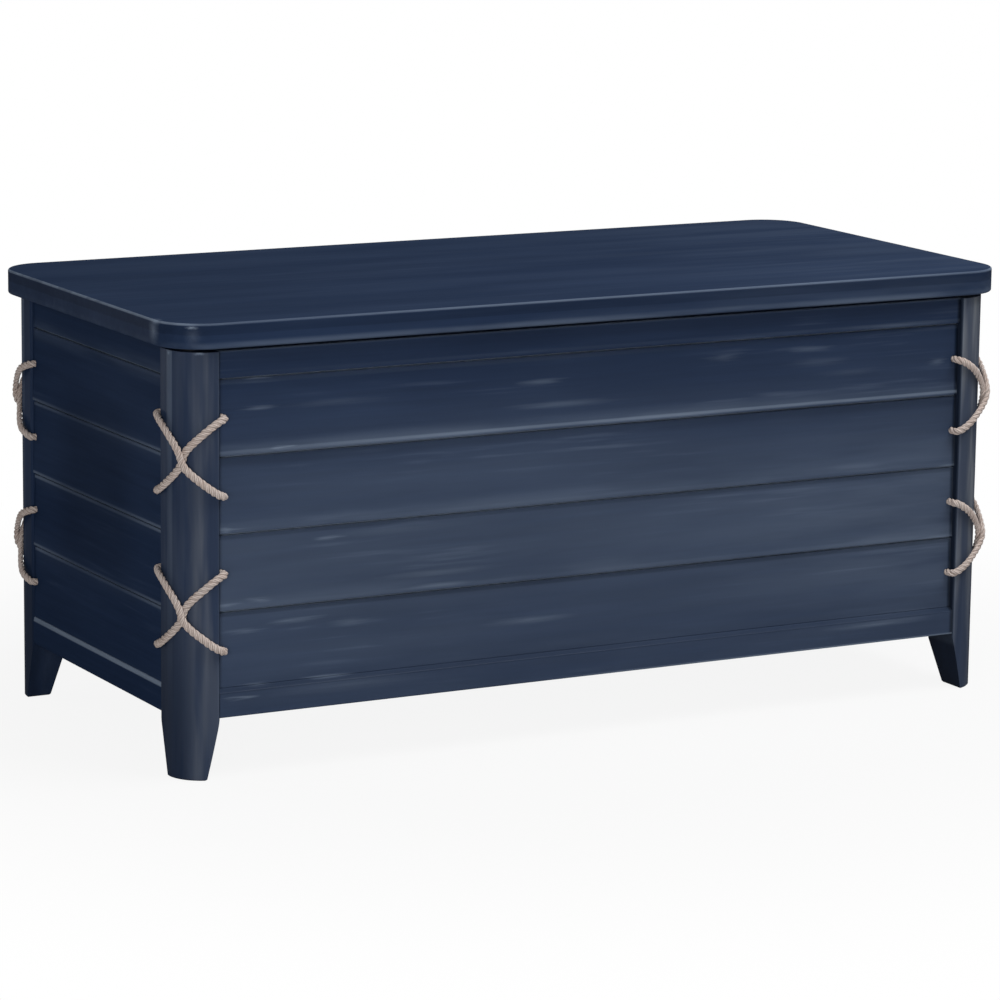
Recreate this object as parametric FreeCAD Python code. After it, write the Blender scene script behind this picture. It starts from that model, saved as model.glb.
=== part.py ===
"""Painted storage chest: hinged lid, four corner posts with tapered feet, board walls and rope lacings.

Lengths are in millimetres. +Z is up, +X runs along the chest to the right seen from the front,
and the front faces -Y. The origin lies on the floor under the middle of the lid.
The body is worked out about its own middle and then moved, because the lid hangs over the back
further than over the front.
"""
import FreeCAD, Part
import math
import os

from FreeCAD import Vector

# Lid
lid_length = 1082.0
lid_depth = 508.0
lid_thickness = 28.5
lid_corner_radius = 53.0
lid_edge_radius = 2.5
side_overhang = 14.0
front_overhang = 8.5
back_overhang = 15.0
lid_gap = 4.5

# Heights of the walls, from the floor up
foot_height = 69.0
bottom_rail_height = 32.0
board_height = 86.0
board_count = 4
top_rail_height = 30.0

# Corner posts and their feet
post_width = 45.0
post_depth = 60.0
post_radius = 41.0
post_edge_radius = 3.0
post_inner_radius = 14.0
foot_taper_width = 15.5
foot_taper_depth = 19.5
foot_chamfer = 1.5

# Walls: how far the pieces lie behind the posts' outer faces, and their joints. The side walls'
# inner faces lie as deep as the front's, and their outer faces are nearly flush with the posts.
board_recess = 9.0
side_board_recess = 4.0
board_flare = 2.0
board_thickness = 20.0
top_rail_recess = 5.0
side_top_rail_recess = 4.0
bottom_rail_recess = 1.0
board_edge_radius = 1.0
rail_edge_radius = 1.5
rail_bevel = 4.0
quirk_height = 2.0
quirk_depth = 4.0
tongue_thickness = 6.0
tongue_height = 8.0
tongue_inset = 5.0
tongue_side_clearance = 0.2
tongue_end_clearance = 1.0
tenon_thickness = 10.0
tenon_length = 8.0
tenon_inset = 4.0
tenon_side_clearance = 0.15
tenon_end_clearance = 0.5
tenon_stop = 8.0

# Floor of the chest
cleat_size = 20.0
cleat_rise = 2.0
cleat_end_clearance = 1.0
floor_thickness = 10.0
floor_clearance = 1.5

# Battens under the lid
batten_width = 60.0
batten_thickness = 18.0
batten_inset = 287.0
batten_end_clearance = 12.0
batten_chamfer = 3.0
batten_screw_spacing = 150.0

# Wood screws, countersunk
screw_radius = 2.0
screw_head_radius = 4.0
screw_clearance = 0.05
batten_screw_length = 34.0
cleat_screw_length = 34.0
cleat_screw_spacing = 220.0
side_cleat_screw_spacing = 130.0
hinge_screw_radius = 1.6
hinge_screw_head_radius = 3.2
hinge_screw_length = 15.0

# Hinges
hinge_inset = 167.0
hinge_width = 64.0
hinge_leaf = 25.0
hinge_leaf_thickness = 2.0
hinge_barrel_radius = 4.0
hinge_pin_radius = 2.0
hinge_pin_clearance = 0.05
hinge_barrel_clearance = 0.4
hinge_knuckle_gap = 0.3
hinge_knuckle_count = 5
hinge_screw_spacing = 22.0
hinge_screw_setback = 9.0

# Pads between the posts and the lid
pad_radius = 9.0
pad_clearance = 0.3

# Rope lacings
rope_radius = 3.8
rope_clearance = 0.15
rope_hole_clearance = 0.5
rope_hole_inset = 5.0
rope_turn_radius = 8.0
rope_inner_turn_radius = 11.0
rope_slack = 1.7
rope_bend_slack = 3.2
rope_cross_gap = 0.5
rope_cross_half_width = 5.0
rope_cross_shift = 3.0
rope_knot_radius = 7.2
rope_knot_clearance = 0.3
rope_tail = 7.0
rope_cross_height_share = 0.30
rope_bend_run_share = 0.45
rope_bend_height_share = 0.60
rope_over_bend_share = 0.18
rope_arc_share = 0.45

# Overrun of every cut
overrun = 1.0

# Sizes that follow
body_length = lid_length - 2 * side_overhang
body_depth = lid_depth - front_overhang - back_overhang
body_shift = (front_overhang - back_overhang) / 2
boards_bottom = foot_height + bottom_rail_height
boards_top = boards_bottom + board_count * board_height
body_top = boards_top + top_rail_height
lid_bottom = body_top + lid_gap
wall_inner = board_recess + board_thickness
front_run = body_length - 2 * post_width
side_run = body_depth - 2 * post_depth
tongue_start = wall_inner - tongue_inset - tongue_thickness
tenon_start = wall_inner - tenon_inset - tenon_thickness
rope_hole_radius = rope_radius + rope_hole_clearance
hole_u = post_width + rope_hole_inset
hole_v = post_depth + rope_hole_inset
hinge_x = body_length / 2 - hinge_inset
batten_x = body_length / 2 - batten_inset
hinge_face = body_depth / 2 - top_rail_recess
hinge_axis_y = hinge_face + hinge_barrel_radius + hinge_barrel_clearance
hinge_axis_z = lid_bottom - hinge_barrel_radius - hinge_barrel_clearance

X = Vector(1, 0, 0)
Y = Vector(0, 1, 0)
Z = Vector(0, 0, 1)


def unit(vector):
    return vector / vector.Length


def rounded_face(corners, origin, along_a, along_b):
    """Flat face through corners (a, b, radius) in the plane of two unit directions."""
    places = [origin + along_a * a + along_b * b for a, b, radius in corners]
    count = len(places)
    edges = []
    last_end = None
    first_start = None
    for i in range(count):
        here = places[i]
        radius = corners[i][2]
        back = unit(places[i - 1] - here)
        ahead = unit(places[(i + 1) % count] - here)
        if radius > 0:
            half = back.getAngle(ahead) / 2
            reach = radius / math.tan(half)
            centre = here + unit(back + ahead) * (radius / math.sin(half))
            start = here + back * reach
            end = here + ahead * reach
            middle = centre + unit(here - centre) * radius
            arc = Part.Arc(start, middle, end).toShape()
        else:
            start = here
            end = here
            arc = None
        if last_end is None:
            first_start = start
        else:
            edges.append(Part.LineSegment(last_end, start).toShape())
        if arc:
            edges.append(arc)
        last_end = end
    edges.append(Part.LineSegment(last_end, first_start).toShape())
    return Part.Face(Part.Wire(edges))


def box(x0, x1, y0, y1, z0, z1):
    return Part.makeBox(x1 - x0, y1 - y0, z1 - z0, Vector(x0, y0, z0))


def edges_where(shape, test):
    """Edges whose two ends, or whose one circle, all pass the test."""
    return [edge for edge in shape.Edges if all(test(vertex.Point) for vertex in edge.Vertexes)]


def level(z):
    return lambda point: abs(point.z - z) < 1e-6


def across_x(shape):
    return shape.mirror(Vector(0, 0, 0), X)


def across_y(shape):
    return shape.mirror(Vector(0, 0, 0), Y)


def to_chest(shape):
    """Moves a body piece from the body's own middle to the chest's frame."""
    moved = shape.copy()
    moved.translate(Y * body_shift)
    return moved


def screw(head, direction, length, radius, head_radius, clearance):
    """Countersunk screw from the middle of its head's face, or the hole for it where clearance is given."""
    cone_length = head_radius - radius
    cone = Part.makeCone(head_radius + clearance, radius + clearance, cone_length, head, direction)
    shank_start = head + direction * cone_length
    shank = Part.makeCylinder(radius + clearance, length - cone_length + clearance, shank_start, direction)
    return cone.fuse(shank).removeSplitter()


# Corner posts

def taper_wedge(face, taper, origin, across):
    """Face of the wood that a foot's taper and its eased lower edge take off one inner side."""
    eased = face - taper * (1 - foot_chamfer / foot_height)
    section = [
        (face, foot_height, 0),
        (eased, foot_chamfer, 0),
        (eased - foot_chamfer - overrun, -overrun, 0),
        (face + overrun, -overrun, 0),
        (face + overrun, foot_height, 0),
    ]
    return rounded_face(section, origin, across, Z)


def corner_post():
    """Front left post, about the body's middle."""
    left = -body_length / 2
    front = -body_depth / 2
    plan = [
        (left, front, post_radius),
        (left + post_width, front, post_edge_radius),
        (left + post_width, front + post_depth, post_inner_radius),
        (left, front + post_depth, post_edge_radius),
    ]
    post = rounded_face(plan, Vector(0, 0, 0), X, Y).extrude(Z * body_top)
    post = post.makeChamfer(foot_chamfer, edges_where(post, level(0)))
    width_wedge = taper_wedge(left + post_width, foot_taper_width, Vector(0, front - overrun, 0), X)
    depth_wedge = taper_wedge(front + post_depth, foot_taper_depth, Vector(left - overrun, 0, 0), Y)
    post = post.cut(width_wedge.extrude(Y * (post_depth + 2 * overrun)))
    post = post.cut(depth_wedge.extrude(X * (post_width + 2 * overrun)))
    groove_low = foot_height + tenon_stop - tenon_side_clearance
    groove_high = body_top - tenon_stop + tenon_side_clearance
    slot_start = tenon_start - tenon_side_clearance
    slot_end = tenon_start + tenon_thickness + tenon_side_clearance
    slot_depth = tenon_length + tenon_end_clearance
    inner_x = left + post_width
    inner_y = front + post_depth
    post = post.cut(box(inner_x - slot_depth, inner_x + overrun,
                        front + slot_start, front + slot_end, groove_low, groove_high))
    post = post.cut(box(left + slot_start, left + slot_end,
                        inner_y - slot_depth, inner_y + overrun, groove_low, groove_high))
    return post


# Walls, each piece drawn lengthways along X with the post's outer face at y = 0

def wall_piece(outline, run, tenon_low, tenon_high):
    """Extrudes a cross-section between two posts and adds a tenon at each end."""
    face = rounded_face(outline, Vector(-run / 2, 0, 0), Y, Z)
    piece = face.extrude(X * run)
    reach = run / 2 + tenon_length
    tenon = box(-reach, reach, tenon_start, tenon_start + tenon_thickness, tenon_low, tenon_high)
    middle = box(-run / 2, run / 2, 0, wall_inner, tenon_low, tenon_high)
    return piece.fuse(tenon.cut(middle)).removeSplitter()


def groove_corners(z):
    """Groove in a piece's lower edge, from the inner face outwards."""
    inner = tongue_start + tongue_thickness + tongue_side_clearance
    outer = tongue_start - tongue_side_clearance
    top = z + tongue_height + tongue_end_clearance
    return [(inner, z, 0), (inner, top, 0), (outer, top, 0), (outer, z, 0)]


def tongue_corners(z):
    """Tongue on a piece's upper edge, from the outer face inwards."""
    inner = tongue_start + tongue_thickness
    return [(tongue_start, z, 0), (tongue_start, z + tongue_height, 0), (inner, z + tongue_height, 0), (inner, z, 0)]


def board(low, run, recess):
    """Board whose outer face leans out to its lower edge, with a quirk along its upper edge."""
    high = low + board_height
    outline = [
        (recess - board_flare, low, board_edge_radius),
        (recess, high - quirk_height, board_edge_radius),
        (recess + quirk_depth, high - quirk_height, 0),
        (recess + quirk_depth, high, 0),
    ]
    outline += tongue_corners(high)
    outline += [(wall_inner, high, 0), (wall_inner, low, 0)]
    outline += groove_corners(low)
    tenon_low = low + tongue_height + tongue_end_clearance
    piece = wall_piece(outline, run, tenon_low, high - quirk_height)
    middle = low + board_height / 2
    for side in (-1, 1):
        start = Vector(side * (run / 2 - rope_hole_inset), -overrun, middle)
        piece = piece.cut(Part.makeCylinder(rope_hole_radius, wall_inner + 2 * overrun, start, Y))
    return piece


def top_rail(run, recess):
    outline = [
        (recess, boards_top, board_edge_radius),
        (recess, body_top, rail_edge_radius),
        (wall_inner, body_top, rail_edge_radius),
        (wall_inner, boards_top, 0),
    ]
    outline += groove_corners(boards_top)
    tenon_low = boards_top + tongue_height + tongue_end_clearance
    return wall_piece(outline, run, tenon_low, body_top - tenon_stop)


def bottom_rail(run, recess):
    """Bottom rail, standing out further than the boards, with a bevel along its upper edge."""
    outline = [
        (bottom_rail_recess, foot_height, rail_edge_radius),
        (bottom_rail_recess, boards_bottom - rail_bevel, rail_edge_radius),
        (recess - board_flare, boards_bottom, 0),
    ]
    outline += tongue_corners(boards_bottom)
    outline += [(wall_inner, boards_bottom, 0), (wall_inner, foot_height, rail_edge_radius)]
    return wall_piece(outline, run, foot_height + tenon_stop, boards_bottom - quirk_height)


def on_front(piece):
    placed = piece.copy()
    placed.translate(Y * (-body_depth / 2))
    return placed


def on_left(piece):
    placed = piece.copy()
    placed.rotate(Vector(0, 0, 0), Z, -90)
    placed.translate(X * (-body_length / 2))
    return placed


# Floor

def floor_panel():
    half_x = body_length / 2 - wall_inner - floor_clearance
    half_y = body_depth / 2 - wall_inner - floor_clearance
    post_x = body_length / 2 - post_width - floor_clearance
    post_y = body_depth / 2 - post_depth - floor_clearance
    plan = [
        (-post_x, -half_y, 0), (post_x, -half_y, 0), (post_x, -post_y, 0), (half_x, -post_y, 0),
        (half_x, post_y, 0), (post_x, post_y, 0), (post_x, half_y, 0), (-post_x, half_y, 0),
        (-post_x, post_y, 0), (-half_x, post_y, 0), (-half_x, -post_y, 0), (-post_x, -post_y, 0),
    ]
    base = Vector(0, 0, foot_height + cleat_rise + cleat_size)
    return rounded_face(plan, base, X, Y).extrude(Z * floor_thickness)


def floor_cleat(run):
    """Cleat on the inner face of a bottom rail, drawn like a wall piece."""
    low = foot_height + cleat_rise
    half = run / 2 - cleat_end_clearance
    return box(-half, half, wall_inner, wall_inner + cleat_size, low, low + cleat_size)


def cleat_screw_places(run, spacing):
    reach = run / 2 - cleat_end_clearance - spacing / 2
    steps = max(1, int(reach // spacing))
    return [step * spacing for step in range(-steps, steps + 1)]


def cleat_screws(places, clearance):
    height = foot_height + cleat_rise + cleat_size / 2
    head = wall_inner + cleat_size
    return [screw(Vector(x, head, height), -Y, cleat_screw_length, screw_radius, screw_head_radius, clearance)
            for x in places]


# Lid

def lid_panel():
    half_x = lid_length / 2
    half_y = lid_depth / 2
    plan = [(x, y, lid_corner_radius) for x, y in ((-half_x, -half_y), (half_x, -half_y), (half_x, half_y), (-half_x, half_y))]
    panel = rounded_face(plan, Vector(0, 0, lid_bottom), X, Y).extrude(Z * lid_thickness)
    rims = edges_where(panel, level(lid_bottom)) + edges_where(panel, level(lid_bottom + lid_thickness))
    return panel.makeFillet(lid_edge_radius, rims)


def lid_batten():
    """Batten about its own middle in X and the body's middle in Y."""
    half_x = batten_width / 2
    half_y = body_depth / 2 - wall_inner - batten_end_clearance
    low = lid_bottom - batten_thickness
    section = [
        (-half_x, lid_bottom, 0), (-half_x, low + batten_chamfer, 0), (-half_x + batten_chamfer, low, 0),
        (half_x - batten_chamfer, low, 0), (half_x, low + batten_chamfer, 0), (half_x, lid_bottom, 0),
    ]
    return rounded_face(section, Vector(0, -half_y, 0), X, Z).extrude(Y * (2 * half_y))


def batten_screws(x, clearance):
    low = lid_bottom - batten_thickness
    return [screw(Vector(x, step * batten_screw_spacing, low), Z, batten_screw_length,
                  screw_radius, screw_head_radius, clearance)
            for step in (-1, 0, 1)]


# Hinges, drawn about the middle of one hinge

def knuckles(first):
    """Barrel pieces of one leaf: every second knuckle, starting with the first or the one after it."""
    pitch = hinge_width / hinge_knuckle_count
    axis = Vector(0, hinge_axis_y, hinge_axis_z)
    pieces = []
    for index in range(first, hinge_knuckle_count, 2):
        start = -hinge_width / 2 + index * pitch + hinge_knuckle_gap / 2
        pieces.append((start, start + pitch - hinge_knuckle_gap))
    barrels = [Part.makeCylinder(hinge_barrel_radius, end - start, axis + X * start, X) for start, end in pieces]
    return pieces, barrels


def with_bore(leaf):
    bore = Part.makeCylinder(hinge_pin_radius + hinge_pin_clearance, hinge_width + 2 * overrun,
                             Vector(-hinge_width / 2 - overrun, hinge_axis_y, hinge_axis_z), X)
    return leaf.cut(bore)


def body_leaf():
    spans, barrels = knuckles(0)
    clear = hinge_barrel_radius + hinge_barrel_clearance
    low = hinge_axis_z - hinge_leaf
    leaf = box(-hinge_width / 2, hinge_width / 2, hinge_face, hinge_face + hinge_leaf_thickness,
               low, hinge_axis_z - clear)
    for (start, end), barrel in zip(spans, barrels):
        neck = box(start, end, hinge_face, hinge_face + hinge_leaf_thickness, hinge_axis_z - clear, hinge_axis_z)
        leaf = leaf.fuse(neck).fuse(barrel)
    return with_bore(leaf.removeSplitter())


def lid_leaf():
    spans, barrels = knuckles(1)
    clear = hinge_barrel_radius + hinge_barrel_clearance
    far = hinge_axis_y - hinge_leaf
    low = lid_bottom - hinge_leaf_thickness
    leaf = box(-hinge_width / 2, hinge_width / 2, far, hinge_axis_y - clear, low, lid_bottom)
    for (start, end), barrel in zip(spans, barrels):
        neck = box(start, end, hinge_axis_y - clear, hinge_axis_y, low, lid_bottom)
        leaf = leaf.fuse(neck).fuse(barrel)
    return with_bore(leaf.removeSplitter())


def hinge_pin():
    start = Vector(-hinge_width / 2, hinge_axis_y, hinge_axis_z)
    return Part.makeCylinder(hinge_pin_radius, hinge_width, start, X)


def body_leaf_screws(x, clearance):
    height = hinge_axis_z - hinge_leaf + hinge_screw_setback
    face = hinge_face + hinge_leaf_thickness
    return [screw(Vector(x + step * hinge_screw_spacing, face, height), -Y, hinge_screw_length,
                  hinge_screw_radius, hinge_screw_head_radius, clearance)
            for step in (-1, 0, 1)]


def lid_leaf_screws(x, clearance):
    place = hinge_axis_y - hinge_leaf + hinge_screw_setback
    low = lid_bottom - hinge_leaf_thickness
    return [screw(Vector(x + step * hinge_screw_spacing, place, low), Z, hinge_screw_length,
                  hinge_screw_radius, hinge_screw_head_radius, clearance)
            for step in (-1, 0, 1)]


# Rope lacings, worked out at the front left post

def round_post(s, height):
    """Place in plan at distance s round the post's outer surface from its corner, and a height off it."""
    left = -body_length / 2
    front = -body_depth / 2
    quarter = post_radius * math.pi / 4
    if s > quarter:
        return Vector(left + post_radius + s - quarter, front - height, 0)
    if s < -quarter:
        return Vector(left - height, front + post_radius - s - quarter, 0)
    angle = math.pi * 5 / 4 + s / post_radius
    reach = post_radius + height
    centre = Vector(left + post_radius, front + post_radius, 0)
    return centre + Vector(math.cos(angle), math.sin(angle), 0) * reach


def strand(start_sign, over, z_middle):
    """Route over the post from the front hole to the side hole; start_sign is 1 where it starts high."""
    quarter = post_radius * math.pi / 4
    front_s = quarter + hole_u - post_radius
    side_s = -quarter - hole_v + post_radius
    middle = (front_s + side_s) / 2 + rope_cross_shift
    rise = board_height / 2 * start_sign
    base = rope_radius + rope_clearance
    lift = rope_slack + (2 * rope_radius + rope_cross_gap if over else 0)
    bend_lift = rope_bend_slack + (2 * rope_radius * rope_over_bend_share if over else 0)
    front_bend = middle + (front_s - middle) * rope_bend_run_share
    side_bend = middle + (side_s - middle) * rope_bend_run_share
    route = [
        (front_s, 1, 0),
        (front_bend, rope_bend_height_share, bend_lift),
        (middle + rope_cross_half_width, rope_cross_height_share, lift),
        (middle - rope_cross_half_width, -rope_cross_height_share, lift),
        (side_bend, -rope_bend_height_share, bend_lift),
        (side_s, -1, 0),
    ]
    return [round_post(s, base + height) + Z * (z_middle + share * rise) for s, share, height in route]


def tube_path(points, turn_radii):
    """Straight runs joined by tangent arcs; a radius of None is as large as its two runs allow."""
    edges = []
    samples = []
    radii = []
    last = points[0]
    length = 0
    for i in range(1, len(points) - 1):
        here = points[i]
        back = unit(points[i - 1] - here)
        ahead = unit(points[i + 1] - here)
        turn = math.pi - back.getAngle(ahead)
        shorter = min((points[i - 1] - here).Length, (points[i + 1] - here).Length)
        radius = turn_radii[i] or rope_arc_share * shorter / math.tan(turn / 2)
        reach = radius * math.tan(turn / 2)
        start = here + back * reach
        end = here + ahead * reach
        centre = here + unit(back + ahead) * (radius / math.cos(turn / 2))
        middle = centre + unit(here - centre) * radius
        edges.append(Part.LineSegment(last, start).toShape())
        edges.append(Part.Arc(start, middle, end).toShape())
        length += (start - last).Length + radius * turn
        radii.append(radius)
        last = end
    edges.append(Part.LineSegment(last, points[-1]).toShape())
    length += (points[-1] - last).Length
    return edges, length, radii


def lacing(z_middle):
    """One rope: knot, front upper hole, under strand, inner run, over strand, front lower hole, knot."""
    left = -body_length / 2
    front = -body_depth / 2
    half = board_height / 2
    aside = max(0, rope_knot_radius + rope_knot_clearance - rope_hole_inset)
    seat = math.sqrt(rope_knot_radius ** 2 - max(0, rope_hole_radius - aside) ** 2) + rope_clearance
    knot_depth = front + wall_inner + seat
    inner_x = left + wall_inner + rope_inner_turn_radius
    under = strand(1, False, z_middle)
    over = strand(-1, True, z_middle)
    over.reverse()
    hole_x = left + hole_u
    hole_y = front + hole_v
    knots = [Vector(hole_x + aside, knot_depth, z_middle + side * half) for side in (1, -1)]
    tails = [knot + Y * (rope_knot_radius + rope_tail) - X * aside for knot in knots]
    inner = [Vector(inner_x, hole_y, z_middle - half), Vector(inner_x, hole_y, z_middle + half)]
    points = [tails[0]] + under + inner + over + [tails[1]]
    tight = rope_turn_radius
    inside = rope_inner_turn_radius
    turn_radii = [None, tight] + [None] * (len(under) - 2) + [tight, inside, inside, tight]
    turn_radii += [None] * (len(over) - 2) + [tight, None]
    edges, length, radii = tube_path(points, turn_radii)
    path = Part.Wire(edges)
    section = Part.Wire([Part.makeCircle(rope_radius, points[0], points[1] - points[0])])
    tube = path.makePipeShell([section], True, True)
    rope = tube
    for knot in knots:
        rope = rope.fuse(Part.makeSphere(rope_knot_radius, knot))
    strands = []
    for turns in (edges[1:2 * len(under)], edges[2 * len(under) + 4:-1]):
        strands.append([point for edge in turns for point in edge.discretize(24)])
    return rope.removeSplitter(), tube, length, radii, strands


def report_rope(tube, length, radii, strands, post):
    expected = math.pi * rope_radius ** 2 * length
    print("rope: length", round(length, 1), "tube volume over section times length", round(tube.Volume / expected, 4))
    print("rope: arc radii", [round(radius, 1) for radius in radii])
    least = min((a - b).Length for a in strands[0] for b in strands[1])
    print("rope: least gap between the crossing strands", round(least - 2 * rope_radius, 2))
    for name, points in zip(("under", "over"), strands):
        gaps = [post.distToShape(Part.Vertex(point))[0] - rope_radius for point in points]
        print("rope:", name, "strand, least gap to the post", round(min(gaps), 2), "largest", round(max(gaps), 2))


# The pieces by name

def build():
    parts = {}
    post = corner_post()
    corners = {
        "front_left": lambda shape: shape,
        "front_right": across_x,
        "back_left": across_y,
        "back_right": lambda shape: across_x(across_y(shape)),
    }
    for name, turn in corners.items():
        parts["post_" + name] = to_chest(turn(post))

    walls = {
        "front": (front_run, on_front),
        "back": (front_run, lambda piece: across_y(on_front(piece))),
        "left": (side_run, on_left),
        "right": (side_run, lambda piece: across_x(on_left(piece))),
    }
    recesses = {
        "front": (board_recess, top_rail_recess),
        "back": (board_recess, top_rail_recess),
        "left": (side_board_recess, side_top_rail_recess),
        "right": (side_board_recess, side_top_rail_recess),
    }
    screw_spacings = {"front": cleat_screw_spacing, "back": cleat_screw_spacing,
                      "left": side_cleat_screw_spacing, "right": side_cleat_screw_spacing}
    all_cleat_screws = []
    for name, (run, place) in walls.items():
        board_face, rail_face = recesses[name]
        rail = top_rail(run, rail_face)
        parts[name + "_top_rail"] = to_chest(place(rail))
        for index in range(board_count):
            low = boards_top - (index + 1) * board_height
            parts[name + "_board_" + str(index + 1)] = to_chest(place(board(low, run, board_face)))
        places = cleat_screw_places(run, screw_spacings[name])
        holes = Part.makeCompound(cleat_screws(places, screw_clearance))
        parts[name + "_bottom_rail"] = to_chest(place(bottom_rail(run, board_face).cut(holes)))
        parts["floor_cleat_" + name] = to_chest(place(floor_cleat(run).cut(holes)))
        all_cleat_screws += [to_chest(place(one)) for one in cleat_screws(places, 0)]
    parts["floor_cleat_screws"] = Part.makeCompound(all_cleat_screws)
    parts["floor_panel"] = to_chest(floor_panel())

    hinges = {"left": -hinge_x, "right": hinge_x}
    back_rail = parts["back_top_rail"]
    panel = lid_panel()
    body_screws = []
    lid_screws = []
    for name, x in hinges.items():
        body_holes = [to_chest(hole) for hole in body_leaf_screws(x, screw_clearance)]
        lid_holes = [to_chest(hole) for hole in lid_leaf_screws(x, screw_clearance)]
        fixed = body_leaf()
        moving = lid_leaf()
        pin = hinge_pin()
        for shape in (fixed, moving, pin):
            shape.translate(X * x)
        parts["hinge_" + name + "_body_leaf"] = to_chest(fixed).cut(Part.makeCompound(body_holes))
        parts["hinge_" + name + "_lid_leaf"] = to_chest(moving).cut(Part.makeCompound(lid_holes))
        parts["hinge_" + name + "_pin"] = to_chest(pin)
        back_rail = back_rail.cut(Part.makeCompound(body_holes))
        panel = panel.cut(Part.makeCompound(lid_holes))
        body_screws += [to_chest(one) for one in body_leaf_screws(x, 0)]
        lid_screws += [to_chest(one) for one in lid_leaf_screws(x, 0)]
    parts["back_top_rail"] = back_rail
    parts["hinge_body_screws"] = Part.makeCompound(body_screws)
    parts["hinge_lid_screws"] = Part.makeCompound(lid_screws)

    all_batten_screws = []
    for name, x in (("left", -batten_x), ("right", batten_x)):
        holes = Part.makeCompound([to_chest(hole) for hole in batten_screws(x, screw_clearance)])
        batten = lid_batten()
        batten.translate(X * x)
        parts["lid_batten_" + name] = to_chest(batten).cut(holes)
        panel = panel.cut(holes)
        all_batten_screws += [to_chest(one) for one in batten_screws(x, 0)]
    parts["lid_batten_screws"] = Part.makeCompound(all_batten_screws)
    parts["lid_panel"] = panel

    pads = []
    for side_x in (-1, 1):
        for side_y in (-1, 1):
            place = Vector(side_x * (body_length - post_width) / 2, side_y * (body_depth - post_depth) / 2, body_top)
            pads.append(to_chest(Part.makeCylinder(pad_radius, lid_gap - pad_clearance, place, Z)))
    parts["lid_pads"] = Part.makeCompound(pads)

    for name, pair in (("upper", 0), ("lower", 1)):
        z_middle = boards_top - (2 * pair + 1) * board_height
        rope, tube, length, radii, strands = lacing(z_middle)
        report_rope(tube, length, radii, strands, post)
        for corner, turn in corners.items():
            parts["lacing_" + corner + "_" + name] = to_chest(turn(rope))
    return parts


os.makedirs("parts", exist_ok=True)
for node, shape in build().items():
    if not shape.isValid():
        print("not valid:", node)
    shape.exportStep(os.path.join("parts", node + ".step"))
    solids = len(shape.Solids)
    print(node, solids, "solid" if solids == 1 else "solids", round(shape.Volume / 1000, 1), "cm3")
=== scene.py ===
"""Painted storage chest with rope lacings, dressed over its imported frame.

Lengths are metres in the chest's own frame: +Z up, +X to the right seen from the front, the front
faces -Y, and the origin is on the floor under the middle of the lid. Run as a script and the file
builds everything in order.
"""
import math
import random

import bmesh
import bpy
from bpy.props import FloatProperty, FloatVectorProperty, IntProperty, PointerProperty
from mathutils import Matrix, Vector


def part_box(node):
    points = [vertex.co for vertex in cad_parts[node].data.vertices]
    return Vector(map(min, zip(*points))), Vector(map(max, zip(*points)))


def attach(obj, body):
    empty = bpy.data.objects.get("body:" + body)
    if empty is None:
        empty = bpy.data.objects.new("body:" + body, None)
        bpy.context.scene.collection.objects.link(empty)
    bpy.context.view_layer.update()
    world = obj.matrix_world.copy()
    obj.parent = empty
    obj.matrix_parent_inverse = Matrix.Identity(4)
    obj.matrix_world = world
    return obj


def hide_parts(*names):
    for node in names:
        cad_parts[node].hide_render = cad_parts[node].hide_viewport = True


bl_info = {
    "name": "Rope-laced storage chest",
    "version": (1, 0, 0),
    "blender": (4, 5, 0),
    "location": "View3D > Sidebar > Chest",
    "description": "Paints the chest, laces its corner posts with rope and sets up its studio",
    "category": "Object",
}

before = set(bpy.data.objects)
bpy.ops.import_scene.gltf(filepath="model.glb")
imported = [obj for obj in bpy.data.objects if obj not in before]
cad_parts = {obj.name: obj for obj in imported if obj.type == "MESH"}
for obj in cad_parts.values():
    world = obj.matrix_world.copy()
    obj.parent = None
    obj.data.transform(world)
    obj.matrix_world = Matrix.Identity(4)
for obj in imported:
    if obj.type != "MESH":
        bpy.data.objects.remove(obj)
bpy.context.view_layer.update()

# Signs that carry a point from the front left corner to each corner
CORNERS = {"front_left": (1, 1), "front_right": (-1, 1), "back_left": (1, -1), "back_right": (-1, -1)}
# Axis that each wall's boards run along
WALLS = {"front": 0, "back": 0, "left": 1, "right": 1}
BOARD_COUNT = 4
TURN = 2 * math.pi

BOARD_LOWS = [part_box(f"front_board_{index + 1}")[0].z for index in range(BOARD_COUNT)]
LOW_JOINT = BOARD_LOWS[-1]
BOARD_HEIGHT = BOARD_LOWS[0] - BOARD_LOWS[1]
BOARDS_TOP = BOARD_LOWS[0] + BOARD_HEIGHT
LID_LOW, LID_HIGH = (corner.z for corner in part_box("lid_panel"))
POST_LOW, POST_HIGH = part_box("post_front_left")
BODY_LEFT, BODY_FRONT = POST_LOW.x, POST_LOW.y
BODY_MIDDLE = (BODY_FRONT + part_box("post_back_left")[1].y) / 2
POST_WIDTH = POST_HIGH.x - BODY_LEFT
POST_DEPTH = POST_HIGH.y - BODY_FRONT
WALL_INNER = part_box("front_board_1")[1].y - BODY_FRONT
POST_INNER = abs(BODY_LEFT) - POST_WIDTH
POST_RADIUS = 0.041
LID_RADIUS = 0.053
BOARD_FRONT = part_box("front_board_1")[0].y

# The photograph's camera, angles in degrees
PHOTO_SIZE = 1000
SENSOR = 36.0
CAMERA_AZIMUTH = -28.62
CAMERA_ELEVATION = 11.13
CAMERA_ROLL = 0.71
CAMERA_TARGET = Vector((-0.00327, 0.0, 0.22915))


# Sizes and colours that a user may change

def tint(name, description, default):
    return FloatVectorProperty(
        name=name, description=description, subtype="COLOR", size=3, min=0, max=1, default=default)


def amount(name, description, least, most, default, kind="DISTANCE", unit="LENGTH"):
    return FloatProperty(
        name=name, description=description, subtype=kind, unit=unit, min=least, max=most, default=default)


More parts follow.
